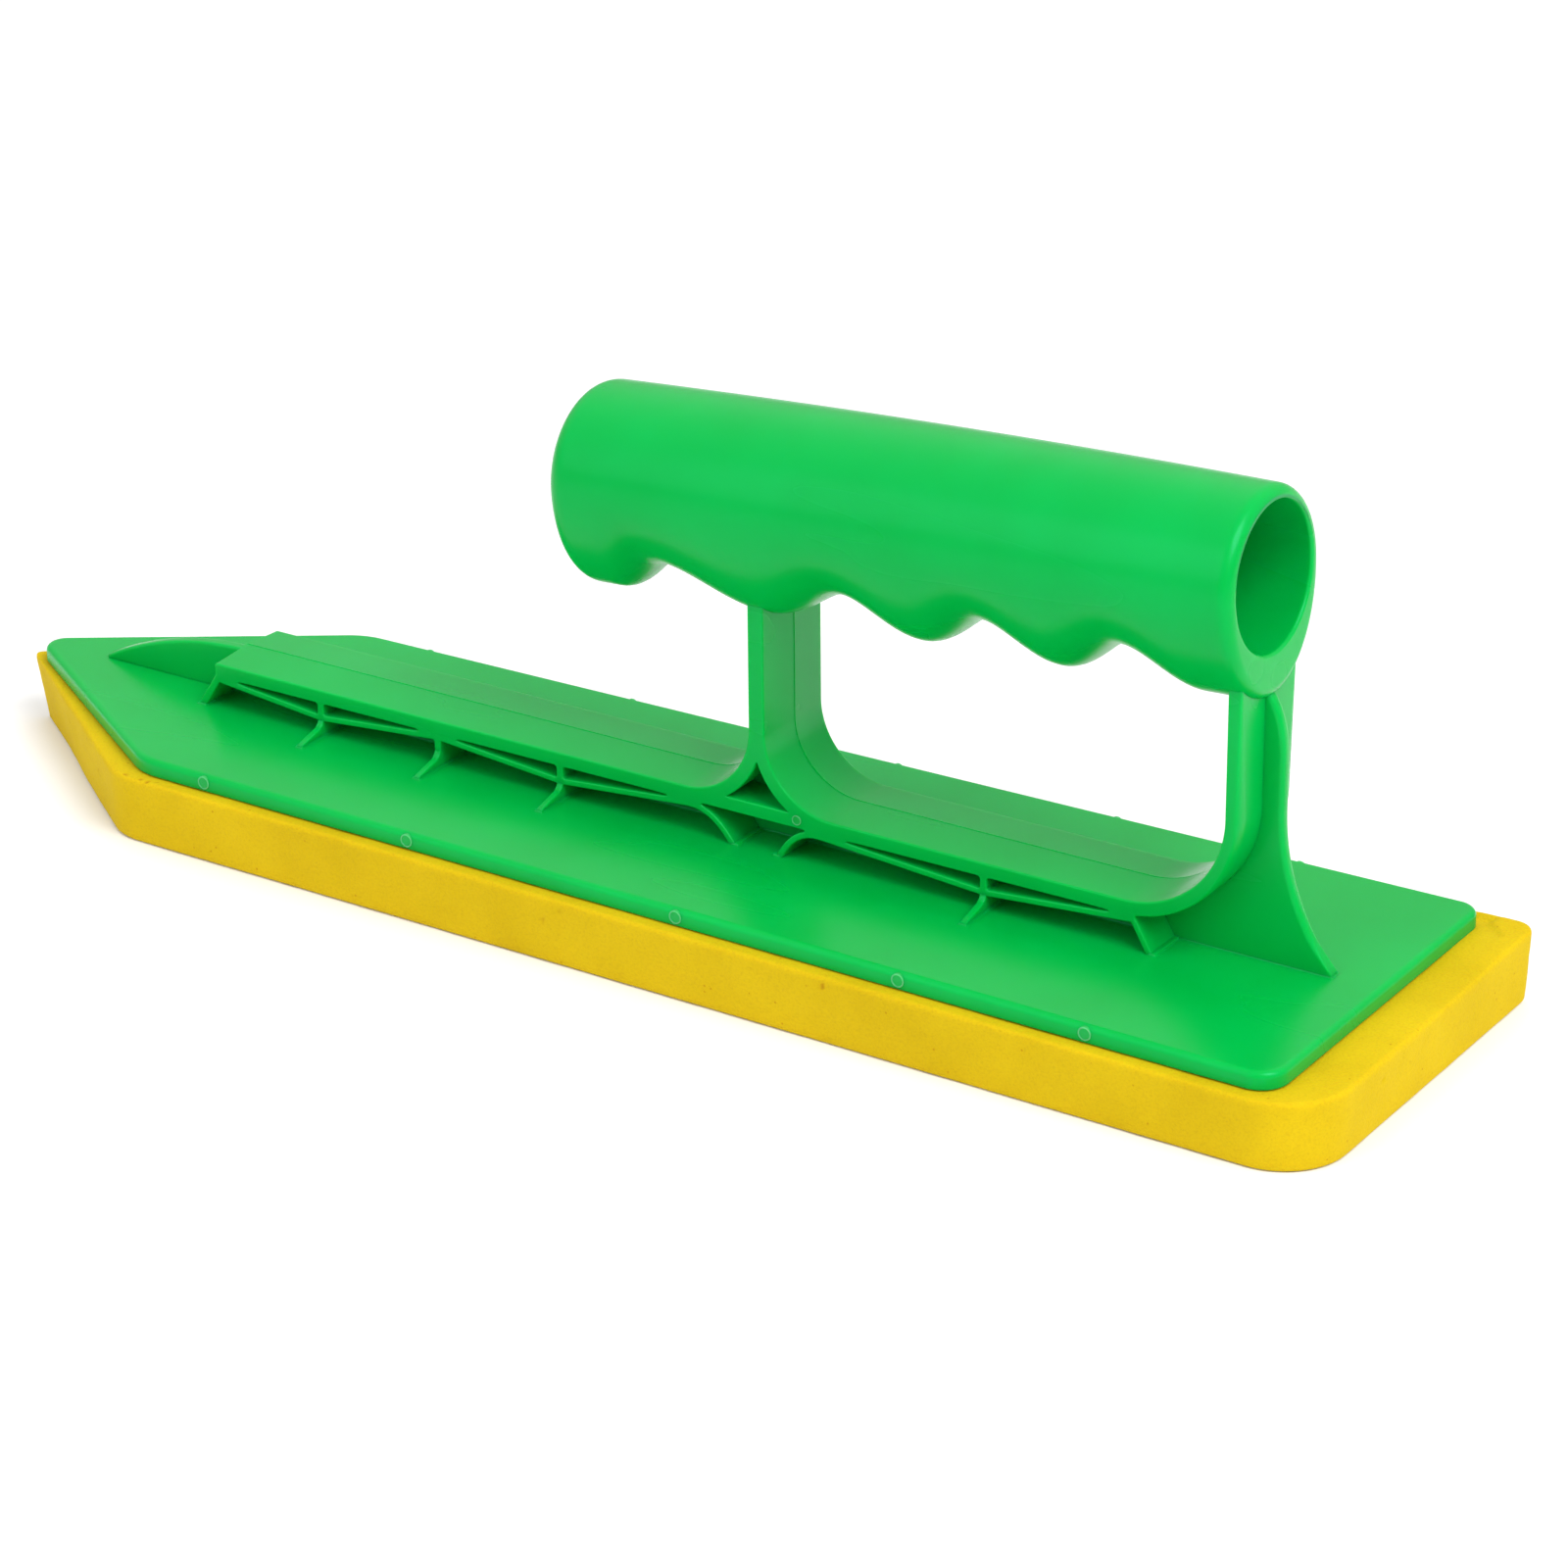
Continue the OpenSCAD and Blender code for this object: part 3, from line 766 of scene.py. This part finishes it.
def nose_fin():
    """Fin from the nose up to the rail's front end."""
    run, rise = RAIL_FRONT - FIN_TIP, RAIL_TOP - BLUNT_TIP
    r = (run * run + rise * rise) / (2 * rise)
    top = arc(RAIL_FRONT, RAIL_TOP - r, r, 90, 90 + math.degrees(math.asin(run / r)), 24)
    loop = np.array([(FIN_TIP, ROOT), (END_WALL_FOOT + 1.2, ROOT), (RAIL_FRONT + 1.0, RAIL_UNDER),
                     (RAIL_FRONT + 1.0, RAIL_TOP), *top])
    return moulded(profile_shell([loop], WEB_HALF, (0.5, 0.5)), "fin", ["nose_fin"])


def keel_web():
    """Web under the rail, with a tongue that closes the triangle at the foot of the middle post."""
    inside = RAIL_UNDER + 1.0
    column = (COLUMN_FRONT + COLUMN_REAR) / 2
    loop = np.array([(END_WALL_FOOT + 1.0, ROOT), (REAR_CURVE_X + 2, ROOT), (REAR_CURVE_X + 2, inside),
                     (column + TONGUE_HALF, inside), (column, TONGUE_TOP), (column - TONGUE_HALF, inside),
                     (RAIL_FRONT + 1.0, inside)])
    return moulded(profile_shell([loop], WEB_HALF, (0.05, 0.05)), "keel", ["keel_web"])


def rear_gusset():
    """Web behind the rear post: flared out at the plate and arched in under the handle."""
    back = REAR_POST_BACK + GUSSET_DEPTH
    run, rise = GUSSET_TIP - back, GUSSET_FLARE - BLUNT_TIP
    r = (run * run + rise * rise) / (2 * run)
    flare = arc(back + r, GUSSET_FLARE, r, 180 + math.degrees(math.asin(rise / r)), 180, 24)
    arch = curve_through((back, ARCH_LOW), (back - 0.1, ARCH_BEND), (REAR_POST_BACK + 0.2, ARCH_TOP), 12)
    middle = REAR_R + STRIP_T / 2
    inner = arc(REAR_CURVE_X, REAR_Z, middle, 0, -90, 16)
    loop = np.array([(REAR_CURVE_X, ROOT), (GUSSET_TIP, ROOT), *flare, *arch,
                     (REAR_CURVE_X + middle, ARCH_TOP), *inner])

    def edge(points):
        """Sharper at the foot than above it."""
        round_off = 0.25 + 0.6 * smooth((points[:, 1] - 1.5) / 4)
        return round_off, round_off

    shell = profile_shell([loop], WEB_HALF + 0.02, edge, steps=6)
    return moulded(shell, "gusset", ["rear_gusset"])


def cross_rib(i):
    """Rib across the float: flush with the rail's sides, then flared out to two feet."""
    half = [(RIB_FOOT, ROOT), (RIB_FOOT, 0.4), (RIB_FOOT - 0.6, 0.65), (RAIL_HALF + 1.0, RIB_CORNER - 0.95),
            (RAIL_HALF + 0.25, RIB_CORNER - 0.3), (RAIL_HALF - 0.03, RIB_CORNER + 0.3),
            (RAIL_HALF - 0.03, RAIL_UNDER)]
    loop = np.array(half + [(-y, z) for y, z in reversed(half)])
    shell = profile_shell([loop], RIB_HALF_T - 0.02, (0.25, 0.25))
    return moulded(shell, f"rib_{i + 1}", [f"cross_rib_{i + 1}"], place=along_float(RIB_X[i]))


# ---------------------------------------------------------------- handle

GRIP_STEPS = 112
GRIP_SPACING = 0.9
GRIP_REAR_R = 2.1
GRIP_FRONT_R = 3.6
MOUTH_R = 0.6


def barrel(s):
    """Radius of the grip, slightly fuller in the middle than at the ends."""
    return GRIP_R - (GRIP_R - GRIP_END_R) * (2 * s / GRIP_L - 1) ** 2


def ridge_wave(s):
    """Depth of the underside at a distance from the rear end: a soft wave from ridge to ridge."""
    at = np.clip(s, GRIP_AT[0], GRIP_AT[-1] - 1e-6)
    i = np.searchsorted(GRIP_AT, at, side="right") - 1
    t = (at - GRIP_AT[i]) / (GRIP_AT[i + 1] - GRIP_AT[i])
    down = (1 - math.cos(math.pi * t)) / 2
    if i % 2:
        down = 1 - down
    return RIDGE_DEPTH + (VALLEY_DEPTH - RIDGE_DEPTH) * down


def grip_section(s, inset=0.0):
    """Cross-section of the grip: round above, drawn to the ridges' depth below."""
    a = np.linspace(0, 2 * math.pi, GRIP_STEPS, endpoint=False)
    r = barrel(s) - inset
    up = np.where(np.sin(a) > 0, r, ridge_wave(s) - inset)
    return np.c_[r * np.cos(a), up * np.sin(a)]


def handle():
    """Barrel-shaped tube with finger ridges, open at the rear and closed at the front."""
    def ring(section, s):
        """A cross-section placed at a distance s from the rear end."""
        return (GRIP_ORIGIN - s * GRIP_BACK + section[:, :1] * np.array([0, 1, 0])
                + section[:, 1:] * GRIP_UP)

    def bore(r):
        a = np.linspace(0, 2 * math.pi, GRIP_STEPS, endpoint=False)
        return np.c_[r * np.cos(a), r * np.sin(a) + BORE_RISE]

    rings = [ring(bore(BORE_R), BORE_L), ring(bore(BORE_R), MOUTH_R)]
    for a in np.radians(np.linspace(22.5, 90, 4)):
        rings.append(ring(bore(BORE_R + MOUTH_R * (1 - math.cos(a))), MOUTH_R * (1 - math.sin(a))))
    for a in np.radians(np.linspace(90, 0, 8)):
        s = GRIP_REAR_R * (1 - math.sin(a))
        rings.append(ring(grip_section(s, GRIP_REAR_R * (1 - math.cos(a))), s))
    for s in np.arange(GRIP_REAR_R, GRIP_L - GRIP_FRONT_R, GRIP_SPACING)[1:]:
        rings.append(ring(grip_section(s), s))
    for a in np.radians(np.linspace(0, 90, 11)):
        s = GRIP_L - GRIP_FRONT_R * (1 - math.sin(a))
        rings.append(ring(grip_section(s, GRIP_FRONT_R * (1 - math.cos(a))), s))
    shell = Shell()
    first, last = shell.stack(rings)
    shell.fill(first)
    shell.fill(last)
    return moulded(shell, "handle", ["handle_grip"])


# ---------------------------------------------------------------- moulding marks

PLATE_PINS = [-208.0, -164.5, -110.0, -67.4, -33.2]
PLATE_PIN_R = 1.2
PLATE_PIN_Z = -1.45
RAIL_PIN = (-103.0, 7.5)
RAIL_PIN_R = 0.9
PIN_STEPS = 32
PIN_RINGS = [(0.5, 0.05), (0.74, 0.05), (0.8, 0.16), (0.93, 0.18), (1.0, 0.1), (1.0, -0.8)]
# How much painted highlight each ring of a pin mark gets, strongest on the raised rim
PIN_RIM_HIGHLIGHT = [0.1, 0.1, 0.7, 0.9, 0.3, 0.0]


def pin_disc(centre, normal, r):
    """A round mark left by an ejector pin: a low disc with a raised rim."""
    side = np.cross(normal, [0, 0, 1.0])
    a = np.linspace(0, 2 * math.pi, PIN_STEPS, endpoint=False)
    circle = np.cos(a)[:, None] * side + np.sin(a)[:, None] * np.array([0, 0, 1.0])
    return [centre + circle * (share * r) + normal * height for share, height in PIN_RINGS]


def pin_marks():
    """The marks on the sides of the plate and of the rail, with a painted highlight on the rim."""
    shell = Shell()
    marks = []
    for side in (-1, 1):
        for x in PLATE_PINS:
            normal = np.array([-SIDE_TAPER, side, 0.0]) / math.hypot(SIDE_TAPER, 1)
            y = side * (PLATE_W / 2 + x * SIDE_TAPER)
            marks.append((np.array([x, y, PLATE_PIN_Z]), normal, PLATE_PIN_R))
        on_rail = np.array([RAIL_PIN[0], side * RAIL_HALF, RAIL_PIN[1]])
        marks.append((on_rail, np.array([0.0, side, 0.0]), RAIL_PIN_R))
    for centre, normal, r in marks:
        first, last = shell.stack(pin_disc(centre, normal, r))
        shell.fill(first)
        shell.fill(last)
    piece = moulded(shell, "pin_marks")
    painted_rim_highlight = np.tile(np.repeat(PIN_RIM_HIGHLIGHT, PIN_STEPS), len(marks))
    piece.data.attributes.new("mark", "FLOAT", "POINT").data.foreach_set(
        "value", painted_rim_highlight.astype(np.float32))
    return piece


# ---------------------------------------------------------------- foam and adhesive

FOAM_EDGE_R = 0.8
FOAM_UNDERCUT = 0.7
NOSE_UNDERCUT = 1.3
FOAM_LOW_R = 0.5
FOAM_SPACING = 0.55
FOAM_RIM = 3.2
FOAM_LOW_RIM = (2.4, 1.7, 1.0)
NOSE_ZONE = (18, 42)                    # distances past the shoulder
TIP_ZONE = (34, 48)
TIP_HOLD = 0.8
CORNER_LIFT = 0.8
SIDE_PITS = 26
SHOULDER_PITS = 9
PIT_SEED = 5
SPINE = (-235, -35)
SLOW_WAVE = (7.0, 0.14)                 # wavelength and height of the cut's unevenness
FAST_WAVE = (1.6, 0.05)


def foam_outline():
    """Outline of the foam, with a wider angle at the nose than the plate's."""
    x, y = FOAM_SHOULDER
    corners = pentagon(FOAM_MARGIN, FOAM_REAR_MARGIN)[:2] + [(-x, y), (-FOAM_NOSE_AT, 0.0), (-x, -y)]
    return rounded(corners, [FOAM_NEAR_R, FOAM_FAR_R, SHOULDER_R, FOAM_NOSE_R, SHOULDER_R], 16)


def foam_sole():
    """Block of foam with rounded edges and sides drawn in towards the bottom, most of all at the nose."""
    loop = resampled(foam_outline(), FOAM_SPACING)
    out = mitres(loop)
    past_shoulder = -loop[:, 0] - SHOULDER_AT
    nose, tip = (smooth((past_shoulder - start) / (end - start)) for start, end in (NOSE_ZONE, TIP_ZONE))

    def inset(d, z):
        """The outline at a height, drawn in by d, less so at the sharp tip."""
        low = np.clip((FOAM_HIGH - FOAM_EDGE_R - z) / (FOAM_HIGH - FOAM_LOW), 0, 1)
        moved = loop - out * (d * (1 - TIP_HOLD * tip) + FOAM_UNDERCUT * low)[:, None]
        moved[:, 0] += NOSE_UNDERCUT * low * nose
        return level(moved, z)

    rings = [inset(d, FOAM_LOW) for d in FOAM_LOW_RIM]
    for a in np.radians(np.linspace(0, 90, 4)):
        rings.append(inset(FOAM_LOW_R * (1 - math.sin(a)), FOAM_LOW + FOAM_LOW_R * (1 - math.cos(a))))
    for z in np.linspace(FOAM_LOW + FOAM_LOW_R, FOAM_HIGH - FOAM_EDGE_R, 20)[1:-1]:
        rings.append(inset(0, z))
    for a in np.radians(np.linspace(0, 90, 5)):
        rings.append(inset(FOAM_EDGE_R * (1 - math.cos(a)), FOAM_HIGH - FOAM_EDGE_R * (1 - math.sin(a))))
    rings += [inset(d, FOAM_HIGH) for d in np.arange(1.5, FOAM_RIM, 0.4)]
    shell = Shell()
    first, last = shell.stack(rings)
    shell.fill(first)
    shell.fill(last)
    shell.rows = [roughened(np.concatenate(shell.rows))]
    piece = shell.piece("foam_block", FOAM, "yellow_foam", ["foam_sole"], sharp=180)
    store_pit_painted_shade(piece)
    return piece


def pit_list():
    """Place, radius and depth of each open pit in the foam's sides, and at its near shoulder."""
    rng = np.random.default_rng(PIT_SEED)
    loop = resampled(foam_outline(), 0.5)
    pits = []
    for _ in range(SIDE_PITS):
        x, y = loop[rng.integers(len(loop))]
        z = FOAM_HIGH - rng.uniform(1.5, 10.5)
        pits.append((x, y, z, rng.uniform(0.3, 0.55), rng.uniform(0.2, 0.45)))
    for _ in range(SHOULDER_PITS):
        x = -SHOULDER_AT + rng.uniform(-3, 8)
        y = -FOAM_SHOULDER[1] + rng.uniform(0.3, 1.3)
        pits.append((x, y, FOAM_HIGH - 0.1, rng.uniform(0.25, 0.4), rng.uniform(0.2, 0.3)))
    return pits


def roughened(points):
    """Unevenness of cut foam, the pits and the lifted corner, as moves away from the block's middle."""
    out = np.zeros_like(points)
    spine = np.c_[np.clip(points[:, 0], *SPINE), points[:, 1] * 0.2]
    away = points[:, :2] - spine
    flat_top = (points[:, 2] > FOAM_HIGH - 0.3)
    flat_low = (points[:, 2] < FOAM_LOW + 0.2)
    out[:, :2] = away / np.maximum(np.linalg.norm(away, axis=1), 1e-6)[:, None]
    out[flat_top] = (0, 0, 1)
    out[flat_low] = (0, 0, 0)
    wobble = np.zeros(len(points))
    for wavelength, height in (SLOW_WAVE, FAST_WAVE):
        wobble += [noise.noise(Vector(p) / wavelength) * height for p in points]
    wobble = np.minimum(wobble - 0.05, 0.0) * np.where(flat_top, 0.5, 1.0)
    moved = points + out * wobble[:, None]
    x, y, z = points.T
    clear_of_plate = np.maximum(x, y - PLATE_W / 2) - 0.4
    at_corner = smooth(clear_of_plate / 2) * smooth((y - 8) / 24) * smooth((x + 12) / 12)
    moved[:, 2] += CORNER_LIFT * at_corner * (z - FOAM_LOW) / (FOAM_HIGH - FOAM_LOW)
    for x, y, z, r, depth in pit_list():
        d = np.linalg.norm(points - (x, y, z), axis=1)
        moved -= out * (depth * smooth(1 - d / (1.6 * r)))[:, None]
    return moved


def store_pit_painted_shade(piece):
    """Stores how deep in a pit each point is, which the material turns into painted shade."""
    mesh = piece.data
    points = np.array([v.co for v in mesh.vertices])
    value = np.zeros(len(points))
    for x, y, z, r, _ in pit_list():
        d = np.linalg.norm(points - metres((x, y, z)), axis=1) / MM
        value = np.maximum(value, smooth(1.4 - d / r))
    mesh.attributes.new("pit", "FLOAT", "POINT").data.foreach_set("value", value.astype(np.float32))


GLUE_INSET = 0.8
GLUE_CORNER_R = 4.0
GLUE_SPACING = 1.5
GLUE_WAVE = 0.5
GLUE_WAVELENGTH = 5.0


def adhesive():
    """Thin brushed film between foam and plate, with an uneven edge."""
    low, high = span("adhesive_film", 2)
    radii = [GLUE_CORNER_R, GLUE_CORNER_R, SHOULDER_R, NOSE_R, SHOULDER_R]
    loop = resampled(rounded(pentagon(-GLUE_INSET, -GLUE_INSET), radii, 10), GLUE_SPACING)
    wave = np.array([noise.noise(Vector((x, y, 3.0)) / GLUE_WAVELENGTH) * GLUE_WAVE for x, y in loop])
    loop = loop + mitres(loop) * wave[:, None]
    out = mitres(loop)
    shell = Shell()
    rings = [level(loop - out * inset, z) for inset, z in
             ((0.25, low), (0.05, low + 0.03), (0.0, (low + high) / 2), (0.05, high - 0.03), (0.25, high))]
    first, last = shell.stack(rings)
    shell.fill(first)
    shell.fill(last)
    return shell.piece("adhesive", GLUE, "adhesive", ["adhesive_film"])


base_plate()
rail_and_posts()
nose_fin()
keel_web()
rear_gusset()
for rib in range(len(RIB_X)):
    cross_rib(rib)
handle()
pin_marks()
foam_sole()
adhesive()

# ---------------------------------------------------------------- studio

scene = bpy.context.scene


def floor():
    """A pale square, a hair under the float."""
    mesh = bpy.data.meshes.new("floor")
    half = 6.0
    mesh.from_pydata([(-half, -half, 0), (half, -half, 0), (half, half, 0), (-half, half, 0)], [],
                     [(0, 1, 2, 3)])
    obj = bpy.data.objects.new("floor", mesh)
    obj.location.z = cad_low.z - 0.0002
    scene.collection.objects.link(obj)
    mesh.materials.append(new_material("pale_floor", (0.93, 0.93, 0.93), 0.6)[0])


def area_light(name, place, target, size, power):
    """A square light of a size in metres and a power in watts."""
    data = bpy.data.lights.new(name, "AREA")
    data.shape = "SQUARE"
    data.size = size
    data.energy = power
    obj = bpy.data.objects.new(name, data)
    obj.location = place
    obj.rotation_euler = (Vector(target) - Vector(place)).to_track_quat("-Z", "Y").to_euler()
    scene.collection.objects.link(obj)


def world(horizon, zenith):
    """Soft light from all round, dimmer near the horizon."""
    made = bpy.data.worlds.new("studio")
    made.use_nodes = True
    tree = made.node_tree
    where = node(tree, "ShaderNodeTexCoord").outputs["Generated"]
    height = node(tree, "ShaderNodeSeparateXYZ", {"Vector": where}).outputs["Z"]
    light = ramp(tree, height, [(0.1, (horizon,) * 3), (0.7, (zenith,) * 3)])
    tree.links.new(light, tree.nodes["Background"].inputs["Color"])
    scene.world = made


def camera():
    """Camera at the viewing angle: 33 degrees round from the near side, 24 degrees up."""
    azimuth, elevation, roll = math.radians(33.085), math.radians(24.254), math.radians(-0.56)
    distance = 0.891125
    target = Vector(metres((-111.107, 0.0, 8.745)))
    back = Vector((math.sin(azimuth) * math.cos(elevation), -math.cos(azimuth) * math.cos(elevation),
                   math.sin(elevation)))
    right = Vector((math.cos(azimuth), math.sin(azimuth), 0))
    up = back.cross(right)
    turned = [math.cos(roll) * right + math.sin(roll) * up, -math.sin(roll) * right + math.cos(roll) * up]
    data = bpy.data.cameras.new("camera")
    data.lens = 123.565
    data.sensor_width = 36.0
    data.clip_start, data.clip_end = 0.05, 50.0
    obj = bpy.data.objects.new("camera", data)
    rotation = Matrix((turned[0], turned[1], back)).transposed()
    obj.matrix_world = Matrix.Translation(target + back * distance) @ rotation.to_4x4()
    scene.collection.objects.link(obj)
    scene.camera = obj


floor()
world(horizon=0.45, zenith=1.0)
FLOAT_MIDDLE = (0, 0, 0.04)
area_light("key", (1.0, -0.35, 1.2), FLOAT_MIDDLE, size=0.9, power=17)
area_light("fill", (-0.6, -1.3, 0.8), FLOAT_MIDDLE, size=1.0, power=4)
camera()
scene.view_settings.view_transform = "Standard"
scene.view_settings.look = "None"
